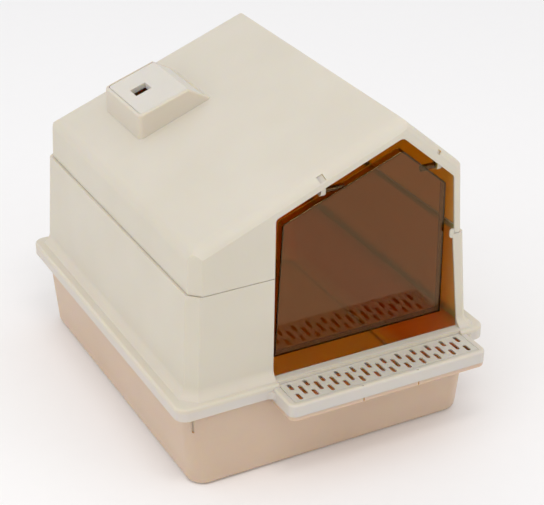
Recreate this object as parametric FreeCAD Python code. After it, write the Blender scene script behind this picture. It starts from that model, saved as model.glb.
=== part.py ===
import FreeCAD, Part
import math
import os
from FreeCAD import Vector

# House-shaped covered litter box, millimetres, +Z up, entrance facing -Y, +X to the right of someone
# who faces the entrance. The origin is the middle of the footprint, on the floor.

# Overall
flange_half_width = 199.0
flange_length = 457.8
ridge_height = 388.7
roof_height = 151.1

# Hood flange and entrance step
flange_top = 116.0
flange_height = 15.6
flange_corner = 14.0
flange_plate = 2.8
edge_round = 3.0
skirt = 2.6
step_depth = 42.2
step_margin = 26.4
step_width = 256.8
step_drop = 3.8
step_height = 15.1
step_corner = 9.0
step_plate = 5.0
step_web = 8.0

# Hood walls: ledges left on the flange, draft per millimetre of height, corner chamfers and what they lose
# per millimetre that the wall is moved inwards, concave foot
wall = 2.4
side_ledge = 18.2
front_ledge = 14.6
back_ledge = 3.6
side_draft = 0.060
front_draft = 0.041
back_draft = 0.037
corner_cut = 12.0
corner_loss = 0.6
jamb_cut = 4.5
jamb_loss = 0.3
flare_height = 13.0
flare_reach = 8.0
flare_power = 2.2
flare_steps = 7
seat_plate = 2.0
upstand_height = 5.8
upstand_wall = 1.8
upstand_setback = 6.0

# Roof
seam_inset = 3.0
roof_draft = 0.037
ridge_inset = 78.5
left_pitch = 21.4
right_pitch = 41.0
roof_wall = 2.4
roll_setback = 17.5
roll_radius = 20.6
right_roll = 9.0
back_roll = 22.0
left_eave_round = 18.0
right_eave_round = 13.0
ridge_round = 2.0
shadow_gap = 1.0

# Entrance opening
sill_rise = 0.4
jamb_width = 13.5
jamb_lean = 0.078
jamb_step = 2.0
opening_width = 244.0
opening_lean = 0.040
gable_frame = 16.8
shoulder_round = 5.0
apex_round = 8.0
lug_reach = 4.0
lug_height = 11.4
lug_drop = 4.8
lug_round = 3.6

# Swing door and its hinge
door_left_gap = 11.0
door_right_gap = 7.2
door_slope_gap = 14.0
door_steep_gap = 11.0
door_bottom_gap = 11.8
door_plate = 2.6
door_rim = 11.0
door_rim_wall = 2.4
door_bevel = 1.6
door_corner = 5.0
door_axis_depth = 6.2
hinge_drop = 64.4
hinge_setback = 9.0
pin_diameter = 7.0
left_pin_length = 18.2
right_pin_length = 12.2
journal_diameter = 4.0
hook_width = 5.6
hook_radius = 5.4
left_pocket = 8.0
right_pocket = 5.0
pocket_depth = 2.4
pocket_fall = 5.6

# Chimney, its lid and the carbon filter
chimney_inset = 56.0
chimney_setback = 59.0
chimney_length = 107.0
chimney_height = 30.2
chimney_pitch = 19.3
chimney_flat = 64.5
chimney_tail = 29.0
chimney_wall = 3.2
chimney_corner = 6.0
chimney_round = 2.2
lid_plate = 3.0
lid_seat = 2.6
lid_end = 6.0
lid_round = 1.6
vent_inset = 27.5
vent_setback = 57.5
vent_side = 20.0
vent_depth = 7.0
vent_wall = 2.0
filter_thickness = 12.0
filter_margin = 3.0
filter_round = 5.0
air_slot = 6.0
air_pitch = 12.0

# Slotted tread of the step
tread_border = 8.0
tread_front_border = 6.0
tread_notch = 4.4
tread_thickness = 1.8
tread_seat = 3.0
slot_pitch = 20.0
slot_margin = 6.0
slot_width = 5.0
slot_end = 1.6
slot_short = 13.2
slot_long = 19.0
slot_row_spacing = 20.8

# Litter tray
tray_side_inset = 20.6
tray_front_inset = 11.0
tray_back_inset = 10.8
tray_draft = 0.068
tray_wall = 2.6
tray_corner = 22.0
tray_base_round = 8.5
tray_rim = 3.0
lip_height = 6.2
lip_round = 2.5
trough_floor = 2.6
tongue_width = 72.0
tongue_slit = 1.4
tick_width = 2.8
corner_groove = 3.0
corner_groove_depth = 1.4
corner_groove_length = 24.5

# Clearances
slide_gap = 0.6
lift_gap = 0.4
seat_gap = 0.3
journal_gap = 0.05
tread_gap = 0.5
lid_gap = 0.8
hook_gap = 0.5

# Positions that follow from the dimensions above
far = 3 * flange_length
flange_back = (flange_length + step_depth) / 2
flange_front = flange_back - flange_length
step_front = flange_front - step_depth
step_right = flange_half_width - step_margin
step_left = step_right - step_width
step_middle = (step_left + step_right) / 2
step_top = flange_top - step_drop
step_bottom = step_top - step_height
plate_under = flange_top - flange_plate
seam_height = ridge_height - roof_height
sill_height = flange_top + sill_rise
hinge_height = ridge_height - hinge_drop
tray_half_width = flange_half_width - tray_side_inset
tray_front = flange_front + tray_front_inset
tray_back = flange_back - tray_back_inset
left_tan = math.tan(math.radians(left_pitch))
right_tan = math.tan(math.radians(right_pitch))
left_cos = math.cos(math.radians(left_pitch))
right_cos = math.cos(math.radians(right_pitch))


def box(x0, x1, y0, y1, z0, z1):
    """A block between two opposite corners."""
    return Part.makeBox(x1 - x0, y1 - y0, z1 - z0, Vector(x0, y0, z0))


def layer(z0, z1):
    """Everything between two heights."""
    return box(-far / 2, far / 2, -far / 2, far / 2, z0, z1)


def closed_wire(points):
    """Straight-sided closed wire through the points."""
    return Part.makePolygon(points + [points[0]])


def ring_solid(rings):
    """Solid through level polygons, listed upwards, with matching corners; all its sides are flat."""
    faces = [Part.Face(closed_wire(rings[0][::-1])), Part.Face(closed_wire(rings[-1]))]
    for lower, upper in zip(rings, rings[1:]):
        for index in range(len(lower)):
            after = (index + 1) % len(lower)
            side = [lower[index], lower[after], upper[after], upper[index]]
            faces.append(Part.Face(closed_wire(side)))
    shell = Part.makeShell(faces)
    shell.sewShape()
    return Part.makeSolid(shell)


def rounded_block(x0, x1, y0, y1, z0, z1, radius):
    """Upright block with rounded vertical edges."""
    block = box(x0, x1, y0, y1, z0, z1)
    return round_edges(block, radius, lambda edge: edge.BoundBox.ZLength > 0.9 * (z1 - z0))


def prism(outline, y0, y1):
    """Outline given as (x, z) pairs, extruded along Y."""
    face = Part.Face(closed_wire([Vector(x, y0, z) for x, z in outline]))
    return face.extrude(Vector(0, y1 - y0, 0))


def beyond(point, normal):
    """Half space on the side of a plane that its normal points to."""
    block = Part.makeBox(far, far, far, Vector(-far / 2, -far / 2, 0))
    block.Placement = FreeCAD.Placement(point, FreeCAD.Rotation(Vector(0, 0, 1), normal))
    return block


def round_edges(shape, radius, chosen):
    """Fillet the edges for which chosen(edge) is true."""
    return shape.makeFillet(radius, [edge for edge in shape.Edges if chosen(edge)])


def level(edge, z):
    """True for an edge that lies at height z."""
    bounds = edge.BoundBox
    return abs(bounds.ZMin - z) < 0.01 and abs(bounds.ZMax - z) < 0.01


# Hood walls
def wall_bounds(z, inset):
    """Half width, front and back of the hood walls at height z."""
    rise = z - flange_top
    half = flange_half_width - side_ledge - side_draft * rise - inset
    front = flange_front + front_ledge + front_draft * rise + inset
    back = flange_back - back_ledge - back_draft * rise - inset
    return half, front, back


def corner_sizes(inset):
    """Chamfers of the corners, and of the jamb corner at the front right, on a wall moved inwards."""
    return corner_cut - corner_loss * inset, jamb_cut - jamb_loss * inset


def cut_corners(half, front, back, z, inset):
    """Corners of a level rectangle with its corners cut."""
    cut, jamb = corner_sizes(inset)
    return [
        Vector(-half, front + cut, z),
        Vector(-half + cut, front, z),
        Vector(half - jamb, front, z),
        Vector(half, front + jamb, z),
        Vector(half, back - cut, z),
        Vector(half - cut, back, z),
        Vector(-half + cut, back, z),
        Vector(-half, back - cut, z),
    ]


def wall_ring(z, inset):
    """Section of the hood walls at height z."""
    half, front, back = wall_bounds(z, inset)
    return cut_corners(half, front, back, z, inset)


def flare_ring(share):
    """Section of the concave foot of the walls, where share runs from 0 at the flange to 1 at its top."""
    z = flange_top + flare_height * share
    reach = flare_reach * (1 - share) ** flare_power
    half, front, back = wall_bounds(z, -reach)
    back -= reach * (1 - back_ledge / flare_reach)
    return cut_corners(half, front, back, z, -reach)


# Roof outline
def roof_bounds(inset):
    """Half width, front and back of the roof at the seam."""
    half, front, back = wall_bounds(seam_height, 0)
    return half - seam_inset - inset, front + inset, back - seam_inset - inset


ridge_x = roof_bounds(0)[0] - ridge_inset


def left_slope_z(x, inset):
    """Height of the left roof slope at x."""
    return ridge_height - inset / left_cos - left_tan * (ridge_x - x)


def right_slope_z(x, inset):
    """Height of the right roof slope at x."""
    return ridge_height - inset / right_cos - right_tan * (x - ridge_x)


def slopes_meet(left_inset, right_inset):
    """Point where the two slopes meet, each moved inwards."""
    x = ridge_x + (left_inset / left_cos - right_inset / right_cos) / (left_tan + right_tan)
    return x, left_slope_z(x, left_inset)


# Entrance opening
opening_right = wall_bounds(sill_height, 0)[0] - jamb_width
opening_left = opening_right - opening_width


def left_side(gap):
    """Where the opening's left side, moved inwards by a gap, is at a height."""
    return lambda z: opening_left + gap + opening_lean * (z - sill_height)


def jamb_side(z):
    """Where the hood's right jamb is at height z."""
    return opening_right - jamb_lean * (z - sill_height)


def right_side(gap):
    """Where the roof's right jamb, moved inwards by a gap, is at a height; it runs on below the seam."""
    return lambda z: jamb_side(seam_height) + jamb_step - gap - opening_lean * (z - seam_height)


def gable_outline(left_gap, right_gap, slope_gap, steep_gap, bottom_gap):
    """Five corners of the opening's house shape, moved inwards by the gaps."""
    left = left_side(left_gap)
    right = right_side(right_gap)
    bottom = sill_height + bottom_gap
    slope = gable_frame + slope_gap
    steep = gable_frame + steep_gap
    left_z = left_slope_z(left(sill_height), slope)
    left_z = sill_height + (left_z - sill_height) / (1 - left_tan * opening_lean)
    right_z = right_slope_z(right(sill_height), steep)
    right_z = sill_height + (right_z - sill_height) / (1 - right_tan * opening_lean)
    return [
        (left(bottom), bottom),
        (right(bottom), bottom),
        (right(right_z), right_z),
        slopes_meet(slope, steep),
        (left(left_z), left_z),
    ]


def gable_prism(outline, y0, y1, shoulder, apex):
    """House-shaped prism with rounded shoulders and apex."""
    solid = prism(outline, y0, y1)

    def corner(edge, index):
        x, z = outline[index]
        middle = edge.BoundBox.Center
        here = abs(middle.x - x) < 0.01 and abs(middle.z - z) < 0.01
        return here and edge.BoundBox.YLength > 0.9 * (y1 - y0)

    solid = round_edges(solid, apex, lambda edge: corner(edge, 3))
    return round_edges(solid, shoulder, lambda edge: corner(edge, 2) or corner(edge, 4))


def front_face_y(z):
    """Y of the leaning front face at height z."""
    return wall_bounds(z, 0)[1]


def gable_cutter():
    """House-shaped prism that cuts the entrance in the roof."""
    return gable_prism(gable_outline(0, 0, 0, 0, 0), step_front, front_face_y(ridge_height) + 4 * wall,
                       shoulder_round, apex_round)


def doorway_cutter():
    """Prism that cuts the entrance in the hood, from the sill up."""
    left = left_side(0)
    outline = [
        (left(sill_height), sill_height),
        (jamb_side(sill_height), sill_height),
        (jamb_side(ridge_height), ridge_height),
        (left(ridge_height), ridge_height),
    ]
    return prism(outline, step_front, front_face_y(ridge_height) + 4 * wall)


# Litter tray
def tray_ring(z, inset):
    """Section of the tray at height z; it widens upwards."""
    half = tray_half_width + tray_draft * z - inset
    front = tray_front - tray_draft * z + inset
    back = tray_back + tray_draft * z - inset
    return [Vector(-half, front, z), Vector(half, front, z), Vector(half, back, z), Vector(-half, back, z)]


def tray_body(inset, z0, z1):
    """Leaning-sided body of the tray with rounded corners and bottom edge."""
    body = ring_solid([tray_ring(z0, inset), tray_ring(z1, inset)])
    body = round_edges(body, tray_corner - inset, lambda edge: edge.BoundBox.ZLength > 0.9 * (z1 - z0))
    return round_edges(body, tray_base_round - inset, lambda edge: level(edge, z0))


def trough_block(inset, z0, z1):
    """Block under the step, inset from the step's outline, reaching back into the tray."""
    return rounded_block(step_left + inset, step_right - inset, step_front + inset,
                         tray_front + 2 * step_corner, z0, z1, step_corner - inset / 2)


def build_tray():
    """Deep pan with an outward rim and a shallow catch trough under the step."""
    lip_top = step_bottom - seat_gap
    lip_bottom = lip_top - lip_height
    pan = tray_body(0, 0, plate_under)
    rim_inset = skirt + slide_gap
    rim = rounded_block(-flange_half_width + rim_inset, flange_half_width - rim_inset,
                        flange_front + rim_inset, flange_back - rim_inset,
                        plate_under - tray_rim, plate_under, flange_corner - rim_inset)
    lip = trough_block(slide_gap, lip_bottom, lip_top)
    lip = round_edges(lip, lip_round, lambda edge: level(edge, lip_bottom))
    upstand = trough_block(skirt + slide_gap, lip_top, step_top - step_plate - seat_gap)
    solid = pan.fuse([rim, lip, upstand])
    trough = trough_block(skirt + slide_gap + trough_floor, lip_bottom + trough_floor, flange_top)
    solid = solid.cut([tray_body(tray_wall, tray_wall, flange_top), trough])
    cuts = []
    for side in (-1, 1):
        middle = step_middle + side * tongue_width / 2
        cuts.append(box(middle - tongue_slit / 2, middle + tongue_slit / 2, step_front, step_front + skirt,
                        lip_bottom, lip_top))
    groove_z = flange_top - flange_height - corner_groove_length
    bulge = tray_corner * (math.sqrt(2) - 1)
    for side in (-1, 1):
        for corner_y, ahead in ((tray_front, -1), (tray_back, 1)):
            widening = tray_draft * groove_z
            foot = Vector(side * (tray_half_width + widening), corner_y + ahead * widening, groove_z)
            groove = box(-corner_groove / 2, corner_groove / 2, -corner_groove_depth, bulge, 0,
                         plate_under - tray_rim - groove_z)
            end = Part.makeCylinder(corner_groove / 2, corner_groove_depth + bulge,
                                    Vector(0, -corner_groove_depth, 0), Vector(0, 1, 0))
            groove = groove.fuse(end)
            groove.translate(Vector(0, -bulge, 0))
            lean = math.degrees(math.atan(tray_draft * math.sqrt(2)))
            groove.rotate(Vector(0, 0, 0), Vector(1, 0, 0), -lean)
            turn = math.degrees(math.atan2(-side, ahead))
            groove.rotate(Vector(0, 0, 0), Vector(0, 0, 1), turn)
            groove.translate(foot)
            cuts.append(groove.common(layer(0, plate_under - tray_rim)))
    return solid.cut(cuts).removeSplitter()


# Hood frame
def tread_bounds(gap):
    """Outline of the tread's seat, widened by a gap."""
    return (step_left + tread_border - gap, step_right - tread_border + gap,
            step_front + tread_front_border - gap, flange_front + tread_notch + gap)


def upstand_ring(z, inset):
    """Section of the upstand that the roof's walls stand around; it leans away from them upwards."""
    half, front, back = roof_bounds(roof_wall + inset)
    rise = z - seam_height
    return cut_corners(half - side_draft * rise, front + front_draft * rise, back - back_draft * rise, z,
                       roof_wall + inset)


def jamb_lug():
    """Rounded lug on the hood's right jamb, beside the roof's jamb, that keeps the roof from shifting."""
    top = seam_height - lug_drop + lug_height
    tip = jamb_side(seam_height) - lug_reach
    face = front_face_y(top)
    lug = box(tip, right_side(seat_gap)(top), face, face + wall, seam_height - lug_drop, top)

    def at_tip(edge):
        return edge.BoundBox.XMax < tip + 0.01 and edge.BoundBox.ZLength < 0.01

    return round_edges(lug, lug_round, at_tip)


def build_hood_frame():
    """Flange with skirt, step frame and walls up to the seam, with a seat and an upstand for the roof."""
    flange_bottom = flange_top - flange_height
    flange = rounded_block(-flange_half_width, flange_half_width, flange_front, flange_back,
                           flange_bottom, flange_top, flange_corner)
    flange = round_edges(flange, edge_round, lambda edge: level(edge, flange_top))
    step_back = flange_front + 2 * step_corner
    step = rounded_block(step_left, step_right, step_front, step_back, step_bottom, step_top, step_corner)
    step = round_edges(step, edge_round, lambda edge: level(edge, step_top))
    step = step.cut(box(-far / 2, far / 2, flange_front + skirt, far / 2, 0, flange_bottom))
    walls = ring_solid([wall_ring(flange_top - flange_plate / 2, 0), wall_ring(seam_height, 0)])
    flare = ring_solid([flare_ring(index / flare_steps) for index in range(flare_steps + 1)])
    webs = []
    for x, side in ((step_left, -1), (step_right, 1)):
        hollow_x = x + side * step_web
        web = box(min(x, hollow_x), max(x, hollow_x), flange_front - step_web, flange_front + skirt,
                  flange_bottom, step_top - edge_round)
        hollow = Part.makeCylinder(step_web, flange_height,
                                   Vector(hollow_x, flange_front - step_web, flange_bottom))
        webs.append(web.cut(hollow))
    seat_under = seam_height - seat_plate
    upstand_top = seam_height + upstand_height
    upstand = ring_solid([upstand_ring(seat_under, lift_gap), upstand_ring(upstand_top, lift_gap)])
    solid = flange.fuse([step, flare, walls, upstand] + webs)
    inner = ring_solid([wall_ring(plate_under - flange_plate, wall), wall_ring(seat_under, wall)])
    mouth = ring_solid([upstand_ring(seat_under - seat_plate, lift_gap + upstand_wall),
                        upstand_ring(upstand_top + seat_plate, lift_gap + upstand_wall)])
    under_flange = rounded_block(-flange_half_width + skirt, flange_half_width - skirt, flange_front + skirt,
                                 flange_back - skirt, 0, plate_under, flange_corner - skirt)
    under_step = rounded_block(step_left + skirt, step_right - skirt, step_front + skirt, step_back,
                               0, step_top - step_plate, step_corner - skirt / 2)
    solid = solid.cut([inner, mouth, under_flange, under_step])
    x0, x1, y0, y1 = tread_bounds(0)
    riser_inset = skirt + slide_gap + trough_floor + seat_gap
    riser = box(step_left + riser_inset, step_right - riser_inset, flange_front, y1 + skirt,
                step_top - step_plate, plate_under)
    well = box(x0, x1, y0, y1, step_top - tread_thickness, flange_top + step_drop)
    x0, x1, y0, y1 = tread_bounds(-tread_seat)
    hole = box(x0, x1, y0, y1, 0, step_top)
    solid = solid.fuse(riser).cut([well, hole])
    passage = box(left_side(-upstand_setback)(seam_height), right_side(-upstand_setback)(seam_height),
                  step_front, front_face_y(ridge_height) + 4 * wall, seam_height, ridge_height)
    solid = solid.cut([doorway_cutter(), passage]).fuse(jamb_lug())
    ticks = []
    for side in (-1, 1):
        middle = step_middle + side * tongue_width / 2
        ticks.append(box(middle - tick_width, middle, step_front + edge_round / 2,
                         step_front + edge_round / 2 + tongue_slit, step_top - tongue_slit, step_top))
    return solid.cut(ticks).removeSplitter()


def build_step_tread():
    """Lift-out tread with staggered short and long slots."""
    x0, x1, y0, y1 = tread_bounds(-tread_gap)
    plate = box(x0, x1, y0, y1, step_top - tread_thickness, step_top)
    middle_x = (x0 + x1) / 2
    middle_y = (y0 + y1) / 2
    columns = int((x1 - x0 - 2 * slot_margin) // slot_pitch) + 1
    slots = []

    def slot(x, y, length):
        half = slot_width / 2
        end = length / 2
        corners = []
        for across, along in ((-1, -1), (1, -1), (1, 1), (-1, 1)):
            side = Vector(x + across * half, y + along * (end - slot_end), step_bottom)
            tip = Vector(x + across * (half - slot_end), y + along * end, step_bottom)
            corners += [side, tip] if across * along > 0 else [tip, side]
        return Part.Face(closed_wire(corners)).extrude(Vector(0, 0, step_height + tread_thickness))

    for index in range(columns):
        x = middle_x + (index - (columns - 1) / 2) * slot_pitch
        slots.append(slot(x, middle_y - slot_row_spacing / 2, slot_short))
        slots.append(slot(x, middle_y + slot_row_spacing / 2, slot_short))
        if index < columns - 1:
            slots.append(slot(x + slot_pitch / 2, middle_y, slot_long))
    return plate.cut(slots)


# Roof
def gable_roll(side, ahead, setback, radius, inset):
    """Cutter for the rolled edge between a slope and a gable face, following the slope from eave to ridge.

    The roll is an arc that runs into the slope at the setback from the gable face. With a radius larger
    than the setback it meets the gable face at a crisp edge. Below the arc the cut runs out of the face."""
    half, front, back = roof_bounds(0)
    pitch = math.radians(left_pitch if side < 0 else right_pitch)
    lean = front_draft if ahead else -back_draft
    start = front if ahead else back
    rolled = radius - inset
    turn = math.asin(min((setback - inset) / rolled, 1.0))
    reach = 2 * radius
    run_out = 3 * abs(lean) * math.cos(pitch)
    along = Vector(-side * math.cos(pitch), lean * math.sin(pitch), math.sin(pitch)).normalize()
    down = Vector(-side * math.sin(pitch), 0, -math.cos(pitch))
    inward = Vector(0, 1 if ahead else -1, 0)
    inward = (inward - along * along.dot(inward)).normalize()
    base = Vector(ridge_x, start + lean * roof_height, ridge_height) - along * far / 2

    def at(s, t):
        return base + inward * s + down * t

    def on_roll(angle):
        return at(setback - rolled * math.sin(angle), radius - rolled * math.cos(angle))

    foot = on_roll(turn)
    tail = foot - inward * reach * (math.cos(turn) + run_out) + down * reach * math.sin(turn)
    corner = at(-reach, -reach)
    over = at(setback, -reach)
    edges = [
        Part.Arc(on_roll(0), on_roll(turn / 2), foot).toShape(),
        Part.makeLine(foot, tail),
        Part.makeLine(tail, corner),
        Part.makeLine(corner, over),
        Part.makeLine(over, on_roll(0)),
    ]
    return Part.Face(Part.Wire(edges)).extrude(along * far)


def roof_solid(inset, bottom):
    """House-shaped solid with leaning walls, cut corners, rounded eaves and rolled gable edges."""
    half, front, back = roof_bounds(inset)
    drop = seam_height - bottom
    left_half = half - roof_draft * (left_slope_z(-half, inset) - seam_height)
    right_half = half - roof_draft * (right_slope_z(half, inset) - seam_height)
    outline = [
        (-half - roof_draft * drop, bottom),
        (half + roof_draft * drop, bottom),
        (right_half, right_slope_z(right_half, inset)),
        slopes_meet(inset, inset),
        (-left_half, left_slope_z(-left_half, inset)),
    ]
    solid = prism(outline, front - corner_cut, back + corner_cut)

    def corner(edge, index):
        x, z = outline[index]
        middle = edge.BoundBox.Center
        return abs(middle.x - x) < 0.1 and abs(middle.z - z) < 0.1 and edge.BoundBox.YLength > back - front

    solid = round_edges(solid, left_eave_round - inset, lambda edge: corner(edge, 4))
    solid = round_edges(solid, right_eave_round - inset, lambda edge: corner(edge, 2))
    if inset == 0:
        solid = round_edges(solid, ridge_round, lambda edge: corner(edge, 3))
    cut, jamb = corner_sizes(inset)
    front_tilt = roof_draft + front_draft
    back_tilt = roof_draft + back_draft
    cutters = [
        beyond(Vector(0, front, seam_height), Vector(0, -1, front_draft)),
        beyond(Vector(0, back, seam_height), Vector(0, 1, back_draft)),
        beyond(Vector(-half + cut, front, seam_height), Vector(-1, -1, front_tilt)),
        beyond(Vector(half - jamb, front, seam_height), Vector(1, -1, front_tilt)),
        beyond(Vector(-half + cut, back, seam_height), Vector(-1, 1, back_tilt)),
        beyond(Vector(half - cut, back, seam_height), Vector(1, 1, back_tilt)),
        gable_roll(-1, True, roll_setback, roll_radius, inset),
        gable_roll(1, True, right_roll, right_roll, inset),
        gable_roll(-1, False, back_roll, back_roll, inset),
        gable_roll(1, False, back_roll, back_roll, inset),
    ]
    for cutter in cutters:
        solid = solid.cut(cutter)
    return solid


# Chimney
chimney_left = -roof_bounds(0)[0] + chimney_inset
chimney_bend = chimney_left + chimney_flat
chimney_end = chimney_bend + chimney_tail
chimney_back = roof_bounds(0)[2] - chimney_setback
chimney_front = chimney_back - chimney_length
chimney_top = left_slope_z(chimney_left, 0) + chimney_height


def top_edges(block):
    """Edges of the top faces of a chimney block or lid that lead along its outline."""
    tops = [face for face in block.Faces if face.normalAt(0, 0).z > 0.5]
    inner = [edge for edge in tops[0].Edges if any(edge.isSame(other) for other in tops[1].Edges)]
    edges = tops[0].Edges + tops[1].Edges
    return [edge for edge in edges if not any(edge.isSame(fold) for fold in inner)]


def chimney_block(inset, end_inset, z0):
    """Upright block on the chimney's footprint; the insets narrow it at the sides and at its high end."""
    return rounded_block(chimney_left + inset, chimney_end - end_inset, chimney_front + inset,
                         chimney_back - inset, z0, ridge_height, chimney_corner - inset / 2)


def over_chimney(depth):
    """Everything above the chimney's bent top, lowered by a depth."""
    climb = math.tan(math.radians(chimney_pitch))
    bend_z = chimney_top + climb * chimney_flat
    fall = (bend_z - left_slope_z(chimney_end, 0)) / chimney_tail
    reach = 2 * chimney_length
    outline = [
        (chimney_bend - reach, bend_z - depth - climb * reach),
        (chimney_bend, bend_z - depth),
        (chimney_bend + reach, bend_z - depth - fall * reach),
        (chimney_bend + reach, bend_z + reach),
        (chimney_bend - reach, bend_z + reach),
    ]
    return prism(outline, chimney_front - reach, chimney_back + reach)


def filter_bounds():
    """Footprint of the carbon filter on the chimney floor, beside the vent and level with its back edge."""
    margin = chimney_wall + lid_seat + filter_margin
    beside_vent = chimney_left + vent_inset + vent_side / 2 + vent_wall
    vent_back = chimney_front + vent_setback + vent_side / 2
    return beside_vent, chimney_bend + filter_margin, chimney_front + margin, vent_back


def air_slots():
    """Slots through the chimney floor, under the filter."""
    x0, x1, y0, y1 = filter_bounds()
    count = int((x1 - x0 - air_slot) // air_pitch)
    middle = (x0 + x1) / 2
    slots = []
    for index in range(count):
        x = middle + (index - (count - 1) / 2) * air_pitch
        slots.append(box(x - air_slot / 2, x + air_slot / 2, y0 + air_slot, y1 - air_slot,
                         seam_height, ridge_height))
    return slots


# Hinge
def hinge_y():
    """Y of the door's swing axis."""
    return front_face_y(hinge_height) + hinge_setback


def door_outline():
    """Five corners of the door, upright."""
    return gable_outline(door_left_gap, door_right_gap, door_slope_gap, door_steep_gap, door_bottom_gap)


def pin_roots():
    """X at which the swing axis meets the door's two slopes."""
    corners = door_outline()
    left_x, left_z = corners[4]
    right_x, right_z = corners[2]
    return left_x + (hinge_height - left_z) / left_tan, right_x - (hinge_height - right_z) / right_tan


def hook_places():
    """X of the left face of each hinge hook."""
    left_root, right_root = pin_roots()
    return left_root - left_pin_length - hook_gap - hook_width, right_root + right_pin_length + hook_gap


def along_axis(diameter, x0, x1):
    """Round bar on the swing axis."""
    return Part.makeCylinder(diameter / 2, x1 - x0, Vector(x0, hinge_y(), hinge_height), Vector(1, 0, 0))


def hinge_pocket(x, side, pitch, slope, setback, radius):
    """Cutter for the small square pocket in the rolled edge over a hook."""
    s = setback - math.sqrt(radius ** 2 - (radius - pocket_fall) ** 2)
    z = slope(x, pocket_fall)
    cutter = box(-side / 2, side / 2, -side, pocket_depth, -side / 2, side / 2)
    steepness = math.degrees(math.acos((radius - pocket_fall) / radius))
    cutter.rotate(Vector(0, 0, 0), Vector(1, 0, 0), -(90 - steepness))
    cutter.rotate(Vector(0, 0, 0), Vector(0, 1, 0), -pitch)
    cutter.translate(Vector(x, front_face_y(z) + s, z))
    return cutter


def build_roof():
    """Roof shell with entrance, hinge hooks and open-topped chimney."""
    outer = roof_solid(0, seam_height)
    inner = roof_solid(roof_wall, seam_height - roof_wall)
    block = chimney_block(0, -chimney_wall, seam_height).cut(over_chimney(0))
    block = block.makeFillet(chimney_round, top_edges(block))
    shell = outer.fuse(block).cut(inner)
    shell = shell.cut(gable_cutter())
    within = roof_solid(roof_wall / 2, seam_height)
    shell = shell.cut(outer.common(layer(seam_height, seam_height + shadow_gap)).cut(within))
    for x in hook_places():
        eye = along_axis(2 * hook_radius, x, x + hook_width)
        stem = box(x, x + hook_width, hinge_y() - hook_radius, hinge_y() + hook_radius,
                   hinge_height, ridge_height)
        shell = shell.fuse(eye.fuse(stem.common(within)))
    for x in hook_places():
        shell = shell.cut(along_axis(journal_diameter + 2 * journal_gap, x - hook_width, x + 2 * hook_width))
    left_hook, right_hook = hook_places()
    pockets = [
        hinge_pocket(left_hook, left_pocket, left_pitch, left_slope_z, roll_setback, roll_radius),
        hinge_pocket(right_hook, right_pocket, -right_pitch, right_slope_z, right_roll, right_roll),
    ]
    recess = chimney_block(chimney_wall, lid_end, seam_height).common(over_chimney(lid_plate))
    hollow_inset = chimney_wall + lid_seat
    hollow = chimney_block(hollow_inset, lid_end + lid_seat, seam_height).cut(outer)
    slots = [slot.common(outer) for slot in air_slots()]
    return shell.cut(pockets + [recess, hollow] + slots).removeSplitter()


def build_lid():
    """Bent lid let into the chimney top, with a square vent tube."""
    plate = chimney_block(chimney_wall + lid_gap, lid_end + lid_gap, seam_height)
    plate = plate.cut(over_chimney(0)).common(over_chimney(lid_plate))
    plate = plate.makeFillet(lid_round, top_edges(plate))
    x = chimney_left + vent_inset
    y = chimney_front + vent_setback
    outside = vent_side / 2 + vent_wall
    tube = box(x - outside, x + outside, y - outside, y + outside, seam_height, ridge_height)
    tube = tube.cut(over_chimney(0)).common(over_chimney(vent_depth))
    hole = box(x - vent_side / 2, x + vent_side / 2, y - vent_side / 2, y + vent_side / 2,
               seam_height, ridge_height)
    return plate.fuse(tube).cut(hole).removeSplitter()


def build_filter():
    """Carbon filter block lying on the slotted chimney floor."""
    x0, x1, y0, y1 = filter_bounds()
    rise = filter_thickness / left_cos
    outline = [
        (x0, left_slope_z(x0, 0)),
        (x1, left_slope_z(x1, 0)),
        (x1, left_slope_z(x1, 0) + rise),
        (x0, left_slope_z(x0, 0) + rise),
    ]

    def upright(edge):
        return edge.BoundBox.XLength < 0.01 and edge.BoundBox.YLength < 0.01

    return round_edges(prism(outline, y0, y1), filter_round, upright)


# Door
def build_door():
    """Smoked flap with a return rim and two hinge pins, turned to the angle at which it hangs at rest."""
    face = hinge_y() - door_axis_depth
    shell = gable_prism(door_outline(), face, face + door_rim, door_corner, door_corner)
    shell = round_edges(shell, door_bevel, lambda edge: abs(edge.BoundBox.YMax - face) < 0.01)
    inner = gable_outline(door_left_gap + door_rim_wall, door_right_gap + door_rim_wall,
                          door_slope_gap + door_rim_wall, door_steep_gap + door_rim_wall,
                          door_bottom_gap + door_rim_wall)
    hollow = gable_prism(inner, face + door_plate, face + 2 * door_rim, door_corner - door_rim_wall,
                         door_corner - door_rim_wall)
    left_root, right_root = pin_roots()
    left_hook, right_hook = hook_places()
    bars = [
        along_axis(pin_diameter, left_root - left_pin_length, left_root + pin_diameter),
        along_axis(pin_diameter, right_root - pin_diameter, right_root + right_pin_length),
        along_axis(journal_diameter, left_hook, left_root),
        along_axis(journal_diameter, right_root, right_hook + hook_width),
    ]
    flap = shell.cut(hollow).fuse(bars).removeSplitter()
    weight = flap.Solids[0].CenterOfMass
    hang = math.degrees(math.atan2(hinge_y() - weight.y, hinge_height - weight.z))
    flap.rotate(Vector(0, hinge_y(), hinge_height), Vector(1, 0, 0), hang)
    return flap


def main():
    os.makedirs("parts", exist_ok=True)
    nodes = {
        "litter_tray": build_tray(),
        "hood_frame": build_hood_frame(),
        "step_tread": build_step_tread(),
        "roof_cover": build_roof(),
        "door_flap": build_door(),
        "chimney_lid": build_lid(),
        "carbon_filter": build_filter(),
    }
    for name, shape in nodes.items():
        print(name, shape.isValid(), len(shape.Solids), round(shape.Volume / 1000, 1), "cm3")
        shape.exportStep("parts/" + name + ".step")


main()
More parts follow.
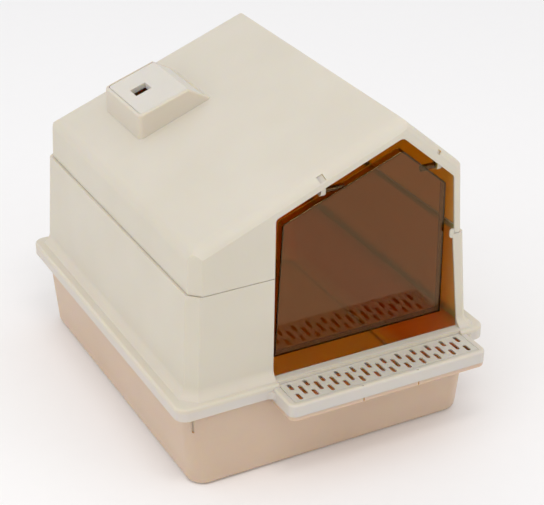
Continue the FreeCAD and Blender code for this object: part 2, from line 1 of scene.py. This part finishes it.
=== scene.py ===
import bpy
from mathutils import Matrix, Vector

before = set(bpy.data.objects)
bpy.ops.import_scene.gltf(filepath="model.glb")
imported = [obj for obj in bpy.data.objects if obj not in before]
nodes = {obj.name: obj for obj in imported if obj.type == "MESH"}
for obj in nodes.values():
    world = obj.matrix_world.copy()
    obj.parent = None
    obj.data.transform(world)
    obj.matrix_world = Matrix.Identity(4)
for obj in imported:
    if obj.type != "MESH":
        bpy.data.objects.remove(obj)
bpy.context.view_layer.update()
scene = bpy.context.scene


def linear(red, green, blue):
    """Linear colour from sRGB values of 0 to 255."""
    values = []
    for value in (red, green, blue):
        share = value / 255
        values.append(share / 12.92 if share <= 0.04045 else ((share + 0.055) / 1.055) ** 2.4)
    return (*values, 1.0)


# Lengths are in metres. A noise is its scale per metre and its detail; a bump is its depth and its strength.
unit = (0.0, 1.0)

# The Mix node has sockets of the same name for each kind of value, so those for colours go by number.
mix_colours_in = (6, 7)
mix_colour_out = 2

# Moulded plastic
cream = linear(211, 202, 187)
cream_shade = linear(208, 199, 183)
# Painted light: the flange's outer edge, below a height, is painted greyer and cooler in place of light from
# the floor
flange_edge_painted_light = linear(203, 196, 188)
lid_cream = linear(214, 207, 197)
lid_shade = linear(211, 204, 193)
pink_beige = linear(207, 181, 160)
pink_shade = linear(203, 177, 155)
# Painted glow: warm colours for the inner faces in place of light that comes through the translucent walls
# and door; the tray's floor is painted paler than its walls
hood_inside_painted_glow = linear(191, 165, 102)
roof_inside_painted_glow = linear(201, 177, 110)
chimney_inside_painted_glow = linear(205, 186, 150)
tray_inside_painted_glow = linear(202, 158, 98)
tray_floor_painted_glow = linear(213, 186, 152)
hood_glow = 0.3
tray_glow = 0.7
flow_noise = (9.0, 2.0)
flow_range = (0.35, 0.65)
flow_bump = (0.0012, 0.10)
grain_noise = (950.0, 3.0)
grain_range = (0.3, 0.7)
grain_bump = (0.00005, 0.35)
satin = (0.42, 0.56)
painted_edge_heights = (0.1120, 0.1095)
turned_in = (0.0, 0.004)
corner_radius = 0.0006
corner_samples = 6
plastic_ior = 1.49
scatter_radius = (1.0, 0.62, 0.2)
scatter_scale = 0.0100

# Smoked door
clear_brown = (0.96, 0.88, 0.68, 1.0)
cloudy_brown = (0.94, 0.85, 0.64, 1.0)
smoke_sheen = (1.0, 0.72, 0.34, 1.0)
smoke_depth = (0.71, 0.55, 0.12, 1.0)
smoke_density = 1000.0
smoke_ior = 1.68
cloud_noise = (7.0, 3.0)
cloud_range = (0.3, 0.7)
cloud_bump = (0.0006, 0.04)
mark_noise = (420.0, 4.0)
mark_range = (0.3, 0.75)
polish = (0.0, 0.03)

# Carbon block
carbon_grey = (0.030, 0.030, 0.031, 1.0)
carbon_black = (0.006, 0.006, 0.006, 1.0)
granule_scale = 620.0
granule_bump = (0.0009, 0.8)
patch_noise = (300.0, 2.0)
patch_range = (0.3, 0.7)
carbon_roughness = (0.45, 0.85)

# Floor, surroundings and camera
floor_reach = 12.0
floor_pale = (0.898, 0.887, 0.877, 1.0)
floor_paler = (0.908, 0.897, 0.887, 1.0)
floor_noise = (40.0, 4.0)
floor_roughness = 0.9
horizon_colour = (1.0, 0.97, 0.90, 1.0)
zenith_colour = (0.98, 1.0, 1.05, 1.0)
sky_strength = (0.74, 0.96)
sky_heights = (0.0, 0.9)
camera_place = (-0.7551, -1.4836, 1.0474)
camera_target = (0.02639, 0.00618, 0.15513)
camera_lens = 102.43
camera_sensor = 36.0


def new_material(name):
    """Material with a node tree that has only the surface shader and the output."""
    material = bpy.data.materials.new(name)
    material.use_nodes = True
    tree = material.node_tree
    tree.nodes.clear()
    output = tree.nodes.new("ShaderNodeOutputMaterial")
    shader = tree.nodes.new("ShaderNodeBsdfPrincipled")
    tree.links.new(shader.outputs["BSDF"], output.inputs["Surface"])
    return material, tree, shader


def noise(tree, coordinates, scale, detail):
    """Noise texture in object metres."""
    node = tree.nodes.new("ShaderNodeTexNoise")
    node.inputs["Scale"].default_value = scale
    node.inputs["Detail"].default_value = detail
    tree.links.new(coordinates, node.inputs["Vector"])
    return node.outputs["Fac"]


def span(tree, value, low, high, to_low, to_high):
    """Map a value from one range to another, held at the ends."""
    node = tree.nodes.new("ShaderNodeMapRange")
    node.inputs["From Min"].default_value = low
    node.inputs["From Max"].default_value = high
    node.inputs["To Min"].default_value = to_low
    node.inputs["To Max"].default_value = to_high
    tree.links.new(value, node.inputs["Value"])
    return node.outputs["Result"]


def mix_colour(tree, share, first, second):
    """Blend of two colours, each a fixed colour or another node's output."""
    node = tree.nodes.new("ShaderNodeMix")
    node.data_type = "RGBA"
    tree.links.new(share, node.inputs["Factor"])
    for number, colour in zip(mix_colours_in, (first, second)):
        if isinstance(colour, tuple):
            node.inputs[number].default_value = colour
        else:
            tree.links.new(colour, node.inputs[number])
    return node.outputs[mix_colour_out]


def bump(tree, height, distance, strength, normal=None):
    """Bump from a height, on top of another normal where one is given."""
    node = tree.nodes.new("ShaderNodeBump")
    node.inputs["Distance"].default_value = distance
    node.inputs["Strength"].default_value = strength
    tree.links.new(height, node.inputs["Height"])
    if normal is not None:
        tree.links.new(normal, node.inputs["Normal"])
    return node.outputs["Normal"]


def math_node(tree, operation, first, second):
    """Sum, product or other combination of two values, each a number or another node's output."""
    node = tree.nodes.new("ShaderNodeMath")
    node.operation = operation
    for socket, value in zip(node.inputs, (first, second)):
        if isinstance(value, (int, float)):
            socket.default_value = value
        else:
            tree.links.new(value, socket)
    return node.outputs["Value"]


def depth_behind(tree, place, planes):
    """Least distance of a point behind several planes, each a point on it and its outward normal."""
    least = None
    for point, normal in planes:
        outward = Vector(normal).normalized()
        node = tree.nodes.new("ShaderNodeVectorMath")
        node.operation = "DOT_PRODUCT"
        node.inputs[1].default_value = outward
        tree.links.new(place, node.inputs[0])
        depth = math_node(tree, "SUBTRACT", Vector(point).dot(outward), node.outputs["Value"])
        least = depth if least is None else math_node(tree, "MINIMUM", least, depth)
    return least


def facing(tree, place, normal, centre):
    """How far a face looks towards a point, in metres."""
    towards = tree.nodes.new("ShaderNodeVectorMath")
    towards.operation = "SUBTRACT"
    towards.inputs[0].default_value = centre
    tree.links.new(place, towards.inputs[1])
    node = tree.nodes.new("ShaderNodeVectorMath")
    node.operation = "DOT_PRODUCT"
    tree.links.new(towards.outputs["Vector"], node.inputs[0])
    tree.links.new(normal, node.inputs[1])
    return node.outputs["Value"]


def painted_glow_share(tree, coordinates, centre, planes, depths):
    """Share of a room's painted warm glow, for faces turned to its middle, growing between two depths behind
    its planes.
    """
    place = coordinates.outputs["Object"]
    towards = facing(tree, place, coordinates.outputs["Normal"], centre)
    share = span(tree, towards, *turned_in, *unit)
    if planes:
        behind = span(tree, depth_behind(tree, place, planes), *depths, *unit)
        share = math_node(tree, "MULTIPLY", share, behind)
    return share


def moulded_plastic(name, colour, shaded, glow, painted_edge_light=None, painted_glow_rooms=()):
    """Satin moulded plastic: fine spark-eroded grain, faint flow marks and light that comes through the wall.

    The faces that look into a room are painted its warmer colour, a painted glow in place of the light that
    comes through the walls, and all their light comes through the wall. A given edge colour is painted light
    on the flange's edge, below a height."""
    material, tree, shader = new_material(name)
    coordinates = tree.nodes.new("ShaderNodeTexCoord")
    place = coordinates.outputs["Object"]
    flow = noise(tree, place, *flow_noise)
    base = mix_colour(tree, span(tree, flow, *flow_range, *unit), colour, shaded)
    # Painted light: below the edge heights the colour turns to the painted cooler edge light
    if painted_edge_light is not None:
        height = tree.nodes.new("ShaderNodeSeparateXYZ")
        tree.links.new(place, height.inputs["Vector"])
        base = mix_colour(tree, span(tree, height.outputs["Z"], *painted_edge_heights, *unit), base, painted_edge_light)
    shader.inputs["Subsurface Weight"].default_value = glow
    inside = 0.0
    # Painted glow: faces turned into a room take its warm painted colour in place of light through the walls
    for painted_glow_colour, centre, planes, depths in painted_glow_rooms:
        share = painted_glow_share(tree, coordinates, centre, planes, depths)
        base = mix_colour(tree, share, base, painted_glow_colour)
        inside = math_node(tree, "MAXIMUM", inside, share)
    if painted_glow_rooms:
        tree.links.new(span(tree, inside, *unit, glow, 1.0), shader.inputs["Subsurface Weight"])
    tree.links.new(base, shader.inputs["Base Color"])
    grain = noise(tree, place, *grain_noise)
    tree.links.new(span(tree, grain, *grain_range, *satin), shader.inputs["Roughness"])
    rounded = tree.nodes.new("ShaderNodeBevel")
    rounded.samples = corner_samples
    rounded.inputs["Radius"].default_value = corner_radius
    uneven = bump(tree, flow, *flow_bump, rounded.outputs["Normal"])
    tree.links.new(bump(tree, grain, *grain_bump, uneven), shader.inputs["Normal"])
    shader.inputs["IOR"].default_value = plastic_ior
    shader.inputs["Subsurface Radius"].default_value = scatter_radius
    shader.inputs["Subsurface Scale"].default_value = scatter_scale
    return material


def smoked_plastic(name):
    """Clear brown styrene, darker where it is thicker, with a polished face and faint handling marks."""
    material, tree, shader = new_material(name)
    place = tree.nodes.new("ShaderNodeTexCoord").outputs["Object"]
    cloud = noise(tree, place, *cloud_noise)
    base = mix_colour(tree, span(tree, cloud, *cloud_range, *unit), clear_brown, cloudy_brown)
    tree.links.new(base, shader.inputs["Base Color"])
    marks = noise(tree, place, *mark_noise)
    tree.links.new(span(tree, marks, *mark_range, *polish), shader.inputs["Roughness"])
    tree.links.new(bump(tree, cloud, *cloud_bump), shader.inputs["Normal"])
    shader.inputs["IOR"].default_value = smoke_ior
    shader.inputs["Specular Tint"].default_value = smoke_sheen
    shader.inputs["Transmission Weight"].default_value = 1.0
    depth = tree.nodes.new("ShaderNodeVolumeAbsorption")
    depth.inputs["Color"].default_value = smoke_depth
    depth.inputs["Density"].default_value = smoke_density
    output = next(node for node in tree.nodes if node.type == "OUTPUT_MATERIAL")
    tree.links.new(depth.outputs["Volume"], output.inputs["Volume"])
    return material


def carbon_block(name):
    """Pressed carbon granules: black grains of a millimetre or two with glints between them."""
    material, tree, shader = new_material(name)
    place = tree.nodes.new("ShaderNodeTexCoord").outputs["Object"]
    grains = tree.nodes.new("ShaderNodeTexVoronoi")
    grains.inputs["Scale"].default_value = granule_scale
    tree.links.new(place, grains.inputs["Vector"])
    base = mix_colour(tree, grains.outputs["Distance"], carbon_grey, carbon_black)
    tree.links.new(base, shader.inputs["Base Color"])
    patches = noise(tree, place, *patch_noise)
    tree.links.new(span(tree, patches, *patch_range, *carbon_roughness), shader.inputs["Roughness"])
    tree.links.new(bump(tree, grains.outputs["Distance"], *granule_bump), shader.inputs["Normal"])
    return material


def leaning_walls(left, right, front, back, z, side_lean, front_lean, back_lean):
    """Planes of four walls that lean inwards, from where they are at height z."""
    return [
        ((0.0, front, z), (0.0, -1.0, front_lean)),
        ((0.0, back, z), (0.0, 1.0, back_lean)),
        ((left, 0.0, z), (-1.0, 0.0, side_lean)),
        ((right, 0.0, z), (1.0, 0.0, side_lean)),
    ]


def dress(node, material):
    """Give a solid its material and the record's slot."""
    node.data.materials.clear()
    node.data.materials.append(material)


# Rooms whose inner faces get a painted warm glow: the cabin, the chimney and the tray's floor
cabin_centre = (0.0, 0.02, 0.20)
chimney_centre = (-0.075, 0.126, 0.335)
ridge = (0.0920, 0.0, 0.3887)
left_slope = (-0.3649, 0.0, 0.9311)
right_slope = (0.6561, 0.0, 0.7547)
chimney_top = ((-0.1145, 0.0, 0.330), (-0.3305, 0.0, 0.9438))
hood_shell = leaning_walls(left=-0.1808, right=0.1808, front=-0.1932, back=0.2464, z=0.116,
                           side_lean=0.060, front_lean=0.041, back_lean=0.037)
roof_shell = leaning_walls(left=-0.1705, right=0.1705, front=-0.1882, back=0.2389, z=0.2376,
                           side_lean=0.037, front_lean=0.041, back_lean=0.037)
roof_shell += [(ridge, left_slope), (ridge, right_slope)]
chimney_shell = leaning_walls(left=-0.1145, right=-0.0210, front=0.0729, back=0.1799, z=0.340,
                              side_lean=0.0, front_lean=0.0, back_lean=0.0)
chimney_shell += [chimney_top]
tray_floor = [((0.0, 0.0, 0.030), (0.0, 0.0, 1.0))]
behind_wall = (0.0018, 0.0023)
near_floor = (0.0, 0.026)

hood = moulded_plastic("hood_plastic", cream, cream_shade, hood_glow, flange_edge_painted_light,
                       [(hood_inside_painted_glow, cabin_centre, hood_shell, behind_wall)])
roof = moulded_plastic("roof_plastic", cream, cream_shade, hood_glow, None,
                       [(roof_inside_painted_glow, cabin_centre, roof_shell, behind_wall),
                        (chimney_inside_painted_glow, chimney_centre, chimney_shell, behind_wall)])
lid = moulded_plastic("lid_plastic", lid_cream, lid_shade, hood_glow)
tray = moulded_plastic("tray_plastic", pink_beige, pink_shade, tray_glow, None,
                       [(tray_inside_painted_glow, cabin_centre, None, None),
                        (tray_floor_painted_glow, cabin_centre, tray_floor, near_floor)])
smoke = smoked_plastic("smoked_plastic")
carbon = carbon_block("carbon_block")
dress(nodes["hood_frame"], hood)
dress(nodes["step_tread"], hood)
dress(nodes["roof_cover"], roof)
dress(nodes["chimney_lid"], lid)
dress(nodes["litter_tray"], tray)
dress(nodes["door_flap"], smoke)
dress(nodes["carbon_filter"], carbon)


def make_floor():
    """Wide pale floor under the box."""
    mesh = bpy.data.meshes.new("floor")
    reach = floor_reach
    corners = [(-reach, -reach, 0), (reach, -reach, 0), (reach, reach, 0), (-reach, reach, 0)]
    mesh.from_pydata(corners, [], [(0, 1, 2, 3)])
    floor = bpy.data.objects.new("floor", mesh)
    scene.collection.objects.link(floor)
    material, tree, shader = new_material("floor_paper")
    place = tree.nodes.new("ShaderNodeTexCoord").outputs["Object"]
    base = mix_colour(tree, noise(tree, place, *floor_noise), floor_pale, floor_paler)
    tree.links.new(base, shader.inputs["Base Color"])
    shader.inputs["Roughness"].default_value = floor_roughness
    shader.inputs["Specular IOR Level"].default_value = 0.0
    mesh.materials.append(material)


def aim(thing, place, target):
    """Put a light or camera at a place, looking at a target."""
    thing.location = place
    thing.rotation_mode = "QUATERNION"
    thing.rotation_quaternion = (Vector(target) - Vector(place)).to_track_quat("-Z", "Y")
    scene.collection.objects.link(thing)


def soft_light(name, place, target, size, watts, colour):
    """Large rectangular soft light aimed at a point."""
    data = bpy.data.lights.new(name, "AREA")
    data.shape = "RECTANGLE"
    data.size, data.size_y = size
    data.energy = watts
    data.color = colour
    aim(bpy.data.objects.new(name, data), place, target)


def make_light():
    """Even pale surroundings, brighter overhead, a soft key from the upper left and weak lights around it."""
    world = bpy.data.worlds.new("studio")
    world.use_nodes = True
    tree = world.node_tree
    background = tree.nodes["Background"]
    direction = tree.nodes.new("ShaderNodeTexCoord").outputs["Generated"]
    height = tree.nodes.new("ShaderNodeSeparateXYZ")
    tree.links.new(direction, height.inputs["Vector"])
    rise = span(tree, height.outputs["Z"], *sky_heights, *unit)
    tree.links.new(mix_colour(tree, rise, horizon_colour, zenith_colour), background.inputs["Color"])
    tree.links.new(span(tree, rise, *unit, *sky_strength), background.inputs["Strength"])
    scene.world = world
    soft_light("key", place=(-1.7, -1.2, 3.0), target=(0.0, 0.0, 0.2),
               size=(2.6, 2.6), watts=15.0, colour=(0.99, 1.0, 1.05))
    soft_light("overhead", place=(-0.25, -1.0, 2.3), target=(0.0, -0.1, 0.3),
               size=(0.8, 0.4), watts=6.2, colour=(1.05, 0.97, 0.90))
    soft_light("fill", place=(2.8, -3.6, 1.6), target=(0.10, -0.2, 0.06),
               size=(2.0, 1.2), watts=13.0, colour=(1.0, 1.0, 1.0))
    soft_light("side", place=(-4.5, 0.6, 1.3), target=(-0.2, 0.05, 0.08),
               size=(2.0, 1.2), watts=16.0, colour=(1.0, 1.0, 1.0))


def make_camera():
    """Camera at the photograph's viewpoint."""
    data = bpy.data.cameras.new("camera")
    data.sensor_width = camera_sensor
    data.lens = camera_lens
    camera = bpy.data.objects.new("camera", data)
    aim(camera, camera_place, camera_target)
    scene.camera = camera


make_floor()
make_light()
make_camera()
scene.view_settings.view_transform = "Standard"
